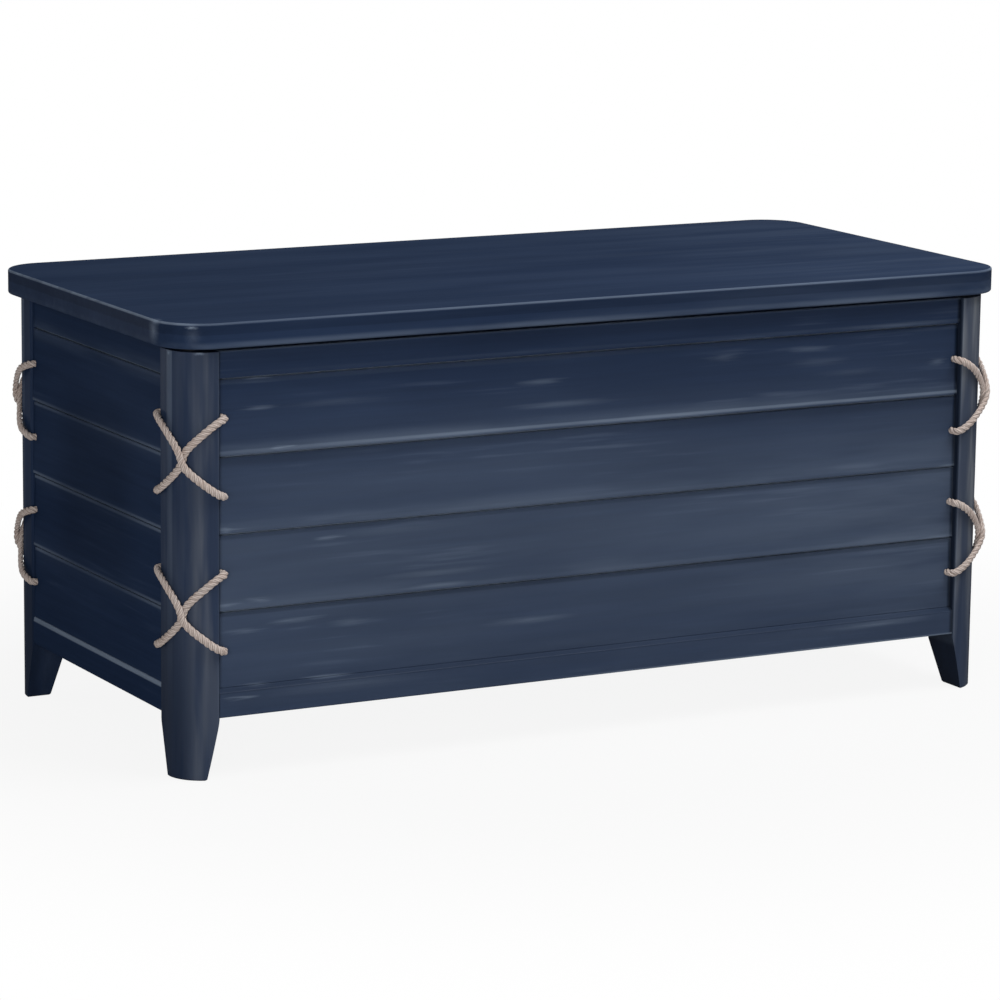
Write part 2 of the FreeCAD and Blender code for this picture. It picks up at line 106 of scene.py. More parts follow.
class ChestPaint(bpy.types.PropertyGroup):
    """Brushed navy paint, thin enough for a paler ground to show through."""

    navy: tint("Navy", "Colour of the full coat", (0.0125, 0.0245, 0.058))
    slate: tint("Slate", "Colour where the coat is thinner", (0.017, 0.031, 0.069))
    # The pale colour also paints light: the front wall's painted reflection and lighter right part, and the
    # lid's lighter right half and lower rim
    wash_and_light: tint("Wash", "Colour of the pale brush streaks", (0.15, 0.19, 0.26))
    # The worn colour also paints the light in the grooves, on the bevels and along the lid's arris, and the
    # corner highlights
    worn_and_highlight: tint("Worn edge", "Colour of the rubbed edges", (0.2, 0.25, 0.33))
    # The posts' pale colour, mostly their painted grey sheen
    dust_and_sheen: tint("Dust", "Colour of the grey bloom on the posts", (0.15, 0.165, 0.19))
    roughness: amount("Roughness", "Roughness of the full coat", 0, 1, 0.42, "FACTOR", "NONE")
    bump: amount("Brush depth", "Height of the brush lines", 0, 0.002, 0.0004)


class ChestRope(bpy.types.PropertyGroup):
    """Three-strand rope of the lacings."""

    radius: amount("Rope radius", "Outer radius of the laid rope", 0.002, 0.01, 0.0046)
    lay: amount("Lay length", "Length in which a strand goes once round the rope", 0.01, 0.06, 0.021)
    step: amount("Step", "Distance between two cross-sections of a strand", 0.0005, 0.005, 0.0013)
    sides: IntProperty(
        name="Sides", description="Sides of a strand's cross-section", min=6, max=24, default=10)
    fibres: IntProperty(
        name="Loose fibres", description="Number of loose fibres on one lacing", min=0, max=2000, default=420)
    pale: tint("Pale fibre", "Colour of the fibres in the light", (0.62, 0.54, 0.5))
    # The warm colour between the yarns stands in for painted shade
    warm_shade: tint("Warm fibre", "Colour between the yarns", (0.31, 0.235, 0.2))


class ChestStage(bpy.types.PropertyGroup):
    """Floor, lamps and camera."""

    floor_size: amount("Floor size", "Length of the floor's sides", 5, 500, 160)
    lens: amount("Lens", "Focal length of the camera", 20, 400, 156.47, "DISTANCE_CAMERA", "CAMERA")
    distance: amount("Camera distance", "Distance from the camera to the point it looks at", 1, 30, 5.15892)
    key_power: amount("Key power", "Power of the large soft lamp", 0, 1000, 62, "POWER", "POWER")
    fill_power: amount(
        "Fill power", "Power of the soft lamp to the left of the camera", 0, 1000, 34, "POWER", "POWER")



# Node trees written as expressions

class Wire:
    """Output socket of a node; its operators add Math nodes."""

    def __init__(self, tree, socket):
        self.tree = tree
        self.socket = socket

    def math(self, operation, *values):
        return node(self.tree, "Math", {"operation": operation}, dict(enumerate((self, *values))))

    def __add__(self, other):
        return self.math("ADD", other)

    __radd__ = __add__

    def __sub__(self, other):
        return self.math("SUBTRACT", other)

    def __rsub__(self, other):
        return node(self.tree, "Math", {"operation": "SUBTRACT"}, {0: other, 1: self})

    def __mul__(self, other):
        return self.math("MULTIPLY", other)

    def __truediv__(self, other):
        return self.math("DIVIDE", other)

    def __pow__(self, other):
        return self.math("POWER", other)

    def __abs__(self):
        return self.math("ABSOLUTE")

    def between(self, low, high):
        """0 below low, 1 above high, smooth between them; it falls where low is above high."""
        start, end = (low, high) if low < high else (high, low)
        rise = node(self.tree, "MapRange", {"interpolation_type": "SMOOTHSTEP"},
                    {"Value": self, "From Min": start, "From Max": end})
        return rise if low < high else 1 - rise

    def near(self, level, low, high):
        """The same, with low and high measured from a level."""
        return self.between(level + low, level + high)

    def at_least(self, least):
        """Raised so that 0 becomes least and 1 stays 1."""
        return self * (1 - least) + least


def node(tree, kind, settings, inputs, output=0):
    """Adds a shader node: its settings first, then the values or links of its sockets."""
    added = tree.nodes.new("ShaderNode" + kind)
    for name, value in settings.items():
        setattr(added, name, value)
    for name, value in inputs.items():
        socket = added.inputs[name]
        if isinstance(value, Wire):
            tree.links.new(value.socket, socket)
        elif hasattr(value, "__len__") and len(value) == 3 and socket.type == "RGBA":
            socket.default_value = (*value, 1.0)
        else:
            socket.default_value = value
    return Wire(tree, added.outputs[output]) if added.outputs else None


def mix(tree, factor, first, second, blend="MIX"):
    """Colour between two colours."""
    return node(tree, "Mix", {"data_type": "RGBA", "blend_type": blend, "clamp_factor": True},
                {0: factor, 6: first, 7: second}, 2)


def noise(tree, place, scale, detail, roughness):
    return node(tree, "TexNoise", {},
                {"Vector": place, "Scale": scale, "Detail": detail, "Roughness": roughness})


def new_material(name):
    """Empty material and the tree of its nodes."""
    material = bpy.data.materials.new(name)
    material.use_nodes = True
    tree = material.node_tree
    tree.nodes.clear()
    return material, tree


def bumped_surface(tree, colour, roughness, relief, strength, depth, more):
    """Surface with a relief; more holds the shader's further values."""
    bumped = node(tree, "Bump", {}, {"Strength": strength, "Distance": depth, "Height": relief})
    shader = node(tree, "BsdfPrincipled", {}, {
        "Base Color": colour, "Roughness": roughness, "Normal": bumped, **more})
    node(tree, "OutputMaterial", {}, {"Surface": shader})


def use_material(piece, material):
    """Gives all of a piece's slots one material."""
    slots = piece.data.materials
    if not slots:
        slots.append(material)
    for index in range(len(slots)):
        slots[index] = material


def new_object(name, data):
    """Object in the scene for a mesh, curve, lamp or camera."""
    made = bpy.data.objects.new(name, data)
    bpy.context.scene.collection.objects.link(made)
    return made


def away_at(azimuth, elevation):
    """Direction away from the chest, in degrees; azimuth is 0 in front and grows to the right."""
    turn, rise = math.radians(azimuth), math.radians(elevation)
    return Vector((math.sin(turn) * math.cos(rise), -math.cos(turn) * math.cos(rise), math.sin(rise)))


# Paint

# Soft pale strokes on the front wall, marked on the photograph: pixels across and down,
# half length and half height in pixels, strength
STROKE_MARKS = (
    (260, 377, 10, 3, 0.6), (257, 408, 15, 3, 0.4), (283, 447, 7, 3, 0.8), (335, 402, 45, 5, 0.12),
    (540, 382, 20, 4, 0.35), (562, 404, 45, 5, 0.3), (327, 538, 12, 3, 0.5), (390, 530, 60, 6, 0.15),
    (260, 600, 10, 4, 0.4), (298, 620, 22, 4, 0.4), (352, 622, 20, 6, 0.3), (530, 620, 35, 5, 0.35),
    (247, 631, 16, 4, 0.3), (325, 676, 20, 3, 0.6), (345, 683, 60, 9, 0.15), (255, 684, 14, 3, 0.4),
    (235, 697, 12, 3, 0.5), (440, 572, 50, 5, 0.25), (727, 357, 14, 7, 0.2), (812, 349, 20, 4, 0.3),
    (818, 362, 25, 6, 0.15), (850, 372, 25, 5, 0.12), (935, 362, 8, 5, 0.3), (875, 623, 40, 4, 0.3),
    (227, 530, 8, 4, 0.6), (230, 605, 10, 3, 0.5), (948, 466, 8, 3, 0.6), (938, 537, 16, 3, 0.5),
    (440, 585, 30, 4, 0.35), (900, 325, 50, 4, 0.25),
)

# Painted highlights on the rounded front left corners of the lid and the post, a glint with a glow under it
# and paler patches: degrees round it from the left face, depth below the top, half size round it, half
# height, strength
LID_HIGHLIGHTS = (
    (58, 0.0045, 0.0085, 0.0024, 1.6), (59, 0.014, 0.012, 0.011, 0.22),
    (0, 0.012, 0.014, 0.018, 0.7), (5, 0.002, 0.012, 0.004, 0.8),
)
POST_HIGHLIGHTS = ((62, 0.001, 0.0075, 0.0026, 1.3), (6, 0.003, 0.004, 0.003, 1.0))

# The strokes against their marks, and how deep they reach
STROKE_LONGER = 1.5
STROKE_FLATTER = 0.95
STROKE_STRONGER = 1.35
STROKE_DEPTH = 0.05

# How far fraying pushes the spots' rims across the brush and, for each axis it may follow, along it
FRAY_ACROSS = 0.003
FRAY_ALONG = (0.06, 0.006, 0.006)

# Wear, painted light and painted shade on the paint: shares at the joints, from the bottom rail's upwards,
# and small shifts in metres
JOINT_LIFT = 0.001
RUB_SHARES = (0.0, 0.05, 0.02, 0.53, 0.05)
GROOVE_LIGHT_SHARES = (0.0, 1.15, 1.3, 0.95, 1.15)
HAZE_SHARES = (0.1, 0.35, 0.5, 1.0, 0.05)
PAINTED_SHADE_SHARES = (0.0, 0.7, 0.45, 0.45, 0.0)
PAIR_SHARES = (0.0, 0.42, 0.45, 0.32, 0.06)
PAIR_DROP = 0.001
PAIR_MIDDLE = -0.003


def camera_axes():
    """The camera's right, up and backward directions."""
    back = away_at(CAMERA_AZIMUTH, CAMERA_ELEVATION)
    roll = math.radians(CAMERA_ROLL)
    level = (-back).cross(Vector((0, 0, 1))).normalized()
    lifted = level.cross(-back)
    right = level * math.cos(roll) + lifted * math.sin(roll)
    return right, lifted * math.cos(roll) - level * math.sin(roll), back


def on_front(across, down):
    """Place on the front boards that a pixel of the photograph shows."""
    look = bpy.context.scene.chest_stage
    right, up, back = camera_axes()
    middle = PHOTO_SIZE / 2
    ray = right * (across - middle) - up * (down - middle) - back * (look.lens / SENSOR * PHOTO_SIZE)
    eye = CAMERA_TARGET + back * look.distance
    return eye + ray * ((BOARD_FRONT - eye.y) / ray.y)


def place_of(tree):
    """Object coordinates."""
    return node(tree, "TexCoord", {}, {}, "Object")


def stretched(tree, axis, along, across, shift=(0.0, 0.0, 0.0)):
    """Object coordinates scaled so that a pattern runs lengthways along one axis."""
    scale = [across] * 3
    scale[axis] = along
    return node(tree, "Mapping", {"vector_type": "POINT"},
                {"Vector": place_of(tree), "Location": shift, "Scale": scale})


def pattern(tree, axis, along, across, detail, roughness, shift=(0.0, 0.0, 0.0)):
    """Noise that runs lengthways along one axis."""
    return noise(tree, stretched(tree, axis, along, across, shift), 1.0, detail, roughness)


def position(tree):
    """The three object coordinates."""
    place = place_of(tree)
    return [node(tree, "SeparateXYZ", {}, {"Vector": place}, axis) for axis in range(3)]


def by_height(height, stops):
    """Share that follows pairs of height and share up a wall."""
    there = node(height.tree, "ValToRGB", {}, {"Fac": height / LID_HIGH})
    ramp = there.socket.node.color_ramp
    while len(ramp.elements) < len(stops):
        ramp.elements.new(1.0)
    for element, (level, share) in zip(ramp.elements, stops):
        element.position = level / LID_HIGH
        element.color = (share, share, share, 1.0)
    return there


def spots(tree, axis, places):
    """Soft pale spots frayed along the brush, from rows of middle, half sizes and strength."""
    fray = node(tree, "TexNoise", {},
                {"Vector": stretched(tree, axis, 22.0, 420.0), "Scale": 1.0, "Detail": 3.0}, 1)
    reach = [FRAY_ACROSS] * 3
    reach[axis] = FRAY_ALONG[axis]
    push = node(tree, "VectorMath", {"operation": "MULTIPLY_ADD"},
                {0: fray, 1: reach, 2: place_of(tree)})
    push = node(tree, "VectorMath", {"operation": "SUBTRACT"},
                {0: push, 1: [step / 2 for step in reach]})
    total = 0.0
    for middle, size, strength in places:
        local = node(tree, "Mapping", {"vector_type": "TEXTURE"},
                     {"Vector": push, "Location": middle, "Scale": size})
        one = node(tree, "TexGradient", {"gradient_type": "SPHERICAL"}, {"Vector": local}, 1)
        total = one ** 1.4 * strength + total
    return total


def wall_spots(tree):
    """The strokes marked on the photograph, at their places on the front wall."""
    places = []
    for across, down, half_across, half_down, strength in STROKE_MARKS:
        middle = on_front(across, down)
        half_length = (on_front(across + half_across, down).x - middle.x) * STROKE_LONGER
        half_height = (on_front(across, down - half_down).z - middle.z) * STROKE_FLATTER
        size = (half_length, STROKE_DEPTH, half_height)
        places.append(((middle.x, BODY_FRONT, middle.z), size, strength * STROKE_STRONGER))
    return spots(tree, 0, places)


def corner_highlights(tree, piece, axis, radius, rows):
    """Painted highlights on the rounded front left corner of a piece."""
    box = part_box(piece)
    places = []
    for degrees, drop, around, up, strength in rows:
        angle = math.radians(degrees)
        x = box[0].x + radius * (1 - math.cos(angle))
        y = box[0].y + radius * (1 - math.sin(angle))
        places.append(((x, y, box[1].z - drop), (around, around, up), strength))
    return spots(tree, axis, places)


def band(value, low, high, soft, level=0.0):
    """1 from low to high above a level, fading away over soft on both sides."""
    low, high = level + low, level + high
    return value.between(low - soft, low) * value.between(high + soft, high)


def at_joints(height, shares):
    """Share that each joint has, from the bottom rail's upwards, also between them."""
    levels = [level + JOINT_LIFT for level in BOARD_LOWS[::-1] + [BOARDS_TOP]]
    return by_height(height, list(zip(levels, shares)))


def wall_wear(tree):
    """Front and back: rub and pale hazing over the boards' lower edges, grooves and the top rail's upper edge
    painted paler against their shade, painted light towards the right, and painted shade below the joints,
    beside the posts and on the bottom rail's bevel.
    """
    across, depth, height = position(tree)
    above = ((height - LOW_JOINT) / BOARD_HEIGHT).math("FRACT") * BOARD_HEIGHT
    below = BOARD_HEIGHT - above
    rub = band(above, 0.0034, 0.0048, 0.0018) * at_joints(height, RUB_SHARES)
    rub = rub * across.between(-0.46, -0.12).at_least(0.34)
    # Painted light on the top rail's top and the front of its upper edge, where the lid's overhang shades it
    rail = height.near(LID_LOW, -0.007, -0.0048)
    rail = rail + height.near(LID_LOW, -0.005, -0.0046) * depth.near(BODY_FRONT, 0.017, 0.009) * 2.6
    # Painted light in the grooves at the joints, against the shade in them
    groove_light = below.between(0.0025, 0.0018) * at_joints(height, GROOVE_LIGHT_SHARES) + rail * 0.25
    line = height.near(LOW_JOINT, -0.029, -0.031) * across.between(-0.1, 0.05) * 0.6
    line = line + band(height, -0.006, -0.0012, 0.003, BOARDS_TOP) * across.between(0.3, -0.1) * 0.06
    haze_and_painted_light = above.between(0.02, 0.002) * at_joints(height, HAZE_SHARES)
    haze_and_painted_light = haze_and_painted_light * across.between(0.5, 0.1).at_least(0.5)
    # Painted light: paler towards the right of the front wall at middle height, added to the pale share
    painted_light_veil = across.between(0.1, 0.46) * height.between(0.36, 0.24) * height.between(0.03, 0.21)
    # Painted shade: darker below each board's overhanging edge, wider under one joint, in the corners beside
    # the posts and on the bottom rail's lit bevel
    darkening_and_shade = band(below, 0.0034, 0.0055, 0.0022) * at_joints(height, PAINTED_SHADE_SHARES)
    darkening_and_shade = darkening_and_shade.math("MAXIMUM", below.between(0.016, 0.008) * at_joints(height, (0.0, 0.0, 0.0, 0.5, 0.0)))
    darkening_and_shade = darkening_and_shade.math("MAXIMUM", across.near(POST_INNER, -0.006, -0.001) * 1.8)
    darkening_and_shade = darkening_and_shade.math("MAXIMUM", band(height, -0.005, -0.0008, 0.0008, LOW_JOINT) * 0.5)
    return rub + groove_light + line, haze_and_painted_light + painted_light_veil * 0.44, darkening_and_shade


def side_wear(tree):
    """Left and right: paired rub lines by each joint, grooves painted paler against their shade, a painted
    highlight along the rail's bevel and a darker patch in the middle of the wall.
    """
    _, depth, height = position(tree)
    beside = ((height - LOW_JOINT) / BOARD_HEIGHT + 0.5).math("FRACT") - 0.5
    # Painted light in the grooves at the joints, against the shade in them
    groove_light = band(beside * BOARD_HEIGHT, -0.0018, 0.0002, 0.0006)
    groove_light = groove_light * at_joints(height, (0.0, 0.75, 0.75, 0.75, 0.6))
    beside = abs(beside * BOARD_HEIGHT + PAIR_DROP)
    ends = abs(depth - PAIR_MIDDLE).between(0.06, 0.19).at_least(0.4)
    pair = beside.between(0.0056, 0.003) * at_joints(height, PAIR_SHARES) * ends
    # Painted highlight along the bottom rail's bevel, where light from above falls
    bevel = height.near(LOW_JOINT, -0.0056, -0.004) * height.near(LOW_JOINT, 0.0012, 0.0)
    haze_and_painted_light = beside.between(0.018, 0.003) * at_joints(height, (0.0, 0.12, 0.12, 0.2, 0.4))
    darkening_and_shade = band(depth, -0.05, 0.05, 0.09) * band(height, 0.23, 0.34, 0.08) * 0.55
    return groove_light.math("MAXIMUM", pair) + bevel * 0.85, haze_and_painted_light, darkening_and_shade


def lid_wear(tree):
    """Rub and a painted highlight on the lid's upper arris, strongest at its ends, a lower rim paler from
    wear and painted light from below, painted light on the right half, and a darker band between.
    """
    across, _, height = position(tree)
    ends = abs(across).between(0.5, 0.54)
    # The upper arris: rub with a painted highlight
    upper = height.near(LID_HIGH, -0.003, -0.0016) * height.near(LID_HIGH, -0.0001, -0.0002)
    # The lower rim, paler from wear and from painted light from below
    lower = height.near(LID_LOW, 0.009, 0.0035) * height.near(LID_LOW, 0.0001, 0.0004)
    # Painted light: paler on the lid's right half, and on the sides of its right half
    lower = lower * (0.9 - ends * 0.7) + across.between(0.0, 0.5) * 0.2
    lower = lower + height.near(LID_HIGH, -0.001, -0.003) * across.between(-0.42, 0.0) * 0.2
    return upper * (ends * 0.45 + 0.4), lower, band(height, -0.012, -0.004, 0.002, LID_HIGH) * 0.55


def post_wear(tree):
    """Rub on the posts' inner arrises, a painted highlight along the side crease, a painted grey sheen down
    the rounded front, painted shade on the faces turned inwards, and darker feet.
    """
    across, depth, height = position(tree)
    out = abs(across)
    back = abs(depth - BODY_MIDDLE)
    round_x = abs(BODY_LEFT) - POST_RADIUS
    round_y = BODY_MIDDLE - BODY_FRONT - POST_RADIUS
    rub = abs(out - POST_INNER - 0.0016).between(0.0024, 0.0006) * 0.1
    # Painted highlight along the crease where the side face meets the rounding
    crease = band(out, 0.0399, 0.0407, 0.0006, round_x) * back.near(round_y, -0.001, 0.0)
    crease = crease * (height.between(0.05, 0.3) * 0.14 + height.between(0.3, 0.46) * 0.26)
    turned = out - round_x
    right = across.between(0.4, 0.45)
    # Painted sheen: a grey reflection down the rounded front, stronger on the right posts, fainter low down
    # and on the back posts
    sheen = turned.between(0.04, 0.019) * 0.7 + band(turned, 0.0125, 0.022, 0.005) * 0.55 + 0.45
    sheen = sheen + right * turned.between(0.04, 0.012) * (height.between(0.06, 0.2) * 0.8 + 1.0)
    sheen = sheen * (height.between(0.3, 0.05) * -0.3 + 1.0) * depth.between(0.1, -0.1).at_least(0.15)
    # Painted shade on the faces turned inwards; the feet darker
    normal = node(tree, "NewGeometry", {}, {}, "True Normal")
    inward = node(tree, "SeparateXYZ", {}, {"Vector": normal}, 0) * across
    outer = inward.between(-0.35, -0.15)
    foot = turned.between(0.02, 0.036) * height.between(0.26, 0.06) * 0.8
    return rub + crease, sheen * outer, ((1 - outer) * 1.5).math("MAXIMUM", foot)


# Brush patterns: scales along and across the brush, detail, roughness and shift of the patches, streaks,
# broad strokes, brush lines and grain
BRUSH_PATTERNS = (
    (4.0, 22.0, 2.0, 0.5, (4.1, 1.7, 9.3)), (7.0, 140.0, 2.0, 0.5, (1.3, 8.8, 2.9)),
    (4.5, 46.0, 3.0, 0.5, (7.7, 0.4, 5.1)), (7.0, 520.0, 3.0, 0.6),
    (22.0, 1500.0, 2.0, 0.6, (0.9, 3.3, 6.6)),
)

# Share of the pale ground up the front wall: at its foot, then in the middle of each board; its rise to the
# middle boards is partly a painted reflection of the floor
FOOT_WASH_AND_REFLECTION = (0.069, 0.12)
BOARD_WASH_AND_REFLECTION = (0.18, 0.26, 0.17, 0.05)


def painted(name, axis, wear, wash_and_light, coat, strokes=None, streaks=1.0, sheen=None):
    """Brushed navy paint whose streaks run along one axis; the height stops give the pale ground's share,
    which on the front wall is partly a painted reflection.
    """
    look = bpy.context.scene.chest_paint
    material, tree = new_material(name)
    cloud = pattern(tree, axis, 2.4, 13.0, 3.0, 0.5, (0.31 * axis, 0.17 * (axis + 1), 0.0))
    patch, streak, broad, brush, grain = (pattern(tree, axis, *row) for row in BRUSH_PATTERNS)
    edge, haze_and_painted_light, darkening_and_shade = wear(tree)

    tone = mix(tree, cloud.between(0.36, 0.66), look.navy, look.slate)
    # Painted shade and darker marks darken the brush lines and thin the pale ground
    lines = (brush * 0.24 + streak * 0.32 + 0.72) * (1 - darkening_and_shade * 0.42)
    grey = node(tree, "CombineColor", {}, {0: lines, 1: lines, 2: lines})
    tone = mix(tree, 1.0, tone, grey, "MULTIPLY")
    pale = by_height(position(tree)[2], wash_and_light) * (cloud * 0.55 + broad * 0.75 + patch * 0.35 + 0.18)
    pale = pale + streak.between(0.54, 0.8) * patch.between(0.48, 0.68) * 0.18 * streaks
    pale = pale + haze_and_painted_light * broad.between(0.36, 0.66).at_least(0.25) * 0.34
    pale = pale * (1 - darkening_and_shade.math("MINIMUM", 1.0) * 0.5)
    # On the posts the pale colour is their painted sheen
    tone = mix(tree, pale, tone, sheen or look.wash_and_light)
    # The worn colour over the edge share: rub, and on some pieces painted light in the grooves and painted
    # highlights on the bevel and along the lid's arris
    rubbed = edge * (broad.between(0.3, 0.6) * 0.35 + 0.6)
    # On the lid and the posts these are painted highlights; on the front wall they are pale brush strokes
    if strokes:
        rubbed = rubbed + strokes(tree) * (brush * 0.9 + 0.5) * 0.7
    tone = mix(tree, rubbed, tone, look.worn_and_highlight)

    rough = look.roughness + pale * 0.25 + (brush - 0.5) * 0.12
    relief = brush * 0.5 + grain * 0.2 + streak * 0.4
    bumped_surface(tree, tone, rough, relief, 0.3, look.bump,
                   {"Specular IOR Level": 0.0, "Coat Weight": coat, "Coat Roughness": 0.25})
    return material


class CHEST_OT_paint(bpy.types.Operator):
    """Paint the walls, posts, lid and inner woodwork"""

    bl_idname = "chest.paint"
    bl_label = "Paint the woodwork"

    def execute(self, context):
        dust_and_sheen = context.scene.chest_paint.dust_and_sheen
        bare = [(0.0, 0.0), (LID_HIGH, 0.0)]
        middles = [level + BOARD_HEIGHT / 2 for level in reversed(BOARD_LOWS)]
        front = [FOOT_WASH_AND_REFLECTION, *zip(middles, BOARD_WASH_AND_REFLECTION), (BOARDS_TOP, 0.0)]
        even = [(0.0, 0.05), (LID_LOW, 0.05), (LID_LOW + 0.001, 0.01)]
        even += [(LID_HIGH - 0.003, 0.01), (LID_HIGH, 0.06)]
        along_x = painted("navy_paint_along_front", 0, wall_wear, front, 0.12, wall_spots)
        along_y = painted("navy_paint_along_side", 1, side_wear, bare, 0.01, None, 0.3)
        upright = painted("navy_paint_posts", 2, post_wear, bare, 0.05,
                          lambda tree: corner_highlights(tree, "post_front_left", 2, POST_RADIUS, POST_HIGHLIGHTS),
                          0.3, dust_and_sheen)
        lid = painted("navy_paint_lid", 0, lid_wear, even, 0.03,
                      lambda tree: corner_highlights(tree, "lid_panel", 1, LID_RADIUS, LID_HIGHLIGHTS), 0.25)
        batten = painted("navy_paint_battens", 1, lid_wear, even, 0.03, None, 0.25)
        finishes = dict(lid_panel=lid, floor_panel=lid, lid_batten_left=batten, lid_batten_right=batten)
        for wall, axis in WALLS.items():
            pieces = [f"{wall}_board_{index + 1}" for index in range(BOARD_COUNT)]
            pieces += [f"{wall}_top_rail", f"{wall}_bottom_rail", f"floor_cleat_{wall}"]
            finishes.update({piece: along_y if axis else along_x for piece in pieces})
        finishes.update({f"post_{corner}": upright for corner in CORNERS})
        for piece, material in finishes.items():
            use_material(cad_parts[piece], material)
        return {"FINISHED"}


# Rope lacings

# Distances round the post from its corner, heights off it and shares of the climb
HOLE_INSET = 0.005
HOLE_MOUTH = 0.0015
INNER_MOUTH = 0.002
PRESSED_HEIGHT = 0.0043
BEND_LIFT = 0.0012
SIDE_BEND_LIFT = 0.0012
CROSS_LIFT = 0.0006
OVER_BEND_LIFT = 0.0011
OVER_CROSS_LIFT = 0.0062
CROSS_MIDDLE = -0.0038
CROSS_HALF_WIDTH = 0.001
CROSS_SHARE = 0.19
FRONT_BEND = 0.019
FRONT_BEND_SHARE = 0.7
SIDE_BEND = -0.0306
SIDE_BEND_SHARE = 0.8
HOLE_RUN = 0.0075
HOLE_RUN_SHARE = 0.95
TIP_DIP = 0.0022
INNER_TURN = 0.011
INNER_EASE = 0.01
FLATNESS = 0.74
PRESS_INSET = 0.0015
PRESS_FADE = 0.0045
HOLE_TIGHTNESS = 0.9
STRAND_SHARE = 0.515
EASE = {"front_left": 0.0, "front_right": 0.001, "back_left": -0.0004, "back_right": 0.001}

# Stopper knots and tails, along from the wall's inner face
KNOT_ASIDE = 0.0042
KNOT_RADIUS = 0.005
KNOT_LENGTH = 0.015
KNOT_END = 0.0042
KNOT_TURNS = 2.0
KNOT_START = 0.6
KNOT_LEAST = 0.35
KNOT_STEPS = 40
TAIL = 0.0085
TAIL_BEND = 0.007
TAIL_OUT = 0.001
TAIL_IN = 0.005

# Uneven strands: share of the radius and length of a slow and a quick swell, and thinner ends
SLOW_SWELL, SLOW_LENGTH = 0.035, 0.037
QUICK_SWELL, QUICK_LENGTH = 0.02, 0.0091
END_LEAST, END_TAPER = 0.55, 0.0015
LACING_TWIST = 0.7

# Loose fibres: least length and what chance adds, curl, where they are rooted, and their shape
FIBRE_SHORT, FIBRE_LONG = 0.0006, 0.0022
FIBRE_CURL = 1.6
FIBRE_ROOT = 0.8
FIBRE_LEVELS = 4
FIBRE_RADIUS = 0.00007
FIBRE_TAPER = 0.75
FIBRE_BEND = 0.35


def round_post(s, height):
    """Place in plan at distance s round the front left post from its corner, and a height off it."""
    quarter = POST_RADIUS * math.pi / 4
    if s > quarter:
        return Vector((BODY_LEFT + POST_RADIUS + s - quarter, BODY_FRONT - height, 0))
    if s < -quarter:
        return Vector((BODY_LEFT - height, BODY_FRONT + POST_RADIUS - s - quarter, 0))
    angle = math.pi * 5 / 4 + s / POST_RADIUS
    reach = POST_RADIUS + height
    return Vector((BODY_LEFT + POST_RADIUS + math.cos(angle) * reach,
                   BODY_FRONT + POST_RADIUS + math.sin(angle) * reach, 0))


def strand_route(start_sign, over, middle, ease):
    """Points over the post from the front hole to the side hole; start_sign is 1 where it starts high."""
    quarter = POST_RADIUS * math.pi / 4
    front = quarter + POST_WIDTH + HOLE_INSET - POST_RADIUS
    side = -quarter - POST_DEPTH - HOLE_INSET + POST_RADIUS
    rise = BOARD_HEIGHT / 2 * start_sign
    bend = ease * 0.6 + (OVER_BEND_LIFT if over else BEND_LIFT)
    cross = ease + (OVER_CROSS_LIFT if over else CROSS_LIFT)
    run = [
        (front, 1, -TIP_DIP),
        (front - HOLE_RUN, HOLE_RUN_SHARE, 0),
        (FRONT_BEND, FRONT_BEND_SHARE, bend),
        (CROSS_MIDDLE + CROSS_HALF_WIDTH, CROSS_SHARE, cross),
        (CROSS_MIDDLE - CROSS_HALF_WIDTH, -CROSS_SHARE, cross),
        (SIDE_BEND, -SIDE_BEND_SHARE, bend + SIDE_BEND_LIFT),
        (side + HOLE_RUN, -HOLE_RUN_SHARE, 0),
        (side, -1, -TIP_DIP),
    ]
    return [round_post(s, PRESSED_HEIGHT + height) + Vector((0, 0, middle + share * rise))
            for s, share, height in run]


def lacing_route(middle, ease):
    """One rope at the front left post: tail, front hole, under strand, inner run, over strand, tail."""
    half = BOARD_HEIGHT / 2
    hole_x = BODY_LEFT + POST_WIDTH + HOLE_INSET
    hole_y = BODY_FRONT + POST_DEPTH + HOLE_INSET
    inner_x = BODY_LEFT + WALL_INNER + INNER_TURN
    knot_y = BODY_FRONT + WALL_INNER
    under = strand_route(1, False, middle, ease)
    over = strand_route(-1, True, middle, ease)
    over.reverse()

    def tail(height):
        run = [(KNOT_ASIDE, KNOT_LENGTH + TAIL), (KNOT_ASIDE, KNOT_LENGTH), (KNOT_ASIDE, TAIL_BEND),
               (0, TAIL_OUT), (0, -TAIL_IN)]
        places = [Vector((hole_x + aside, knot_y + inwards, height)) for aside, inwards in run]
        return places + [Vector((hole_x, under[0].y + HOLE_RUN, height))]

    def into_side(height):
        return [Vector((x, hole_y, height)) for x in (under[-1].x + HOLE_RUN, inner_x - INNER_EASE)]

    high, low = middle + half, middle - half
    levels = (low, low + INNER_TURN, high - INNER_TURN, high)
    inner = into_side(low) + [Vector((inner_x, hole_y, level)) for level in levels] + into_side(high)[::-1]
    return tail(high) + under + inner + over + tail(low)[::-1]


def to_corner(point, corner):
    """A point at the front left corner, carried to another corner, or back from there."""
    side, front = CORNERS[corner]
    return Vector((point.x * side, BODY_MIDDLE + (point.y - BODY_MIDDLE) * front, point.z))


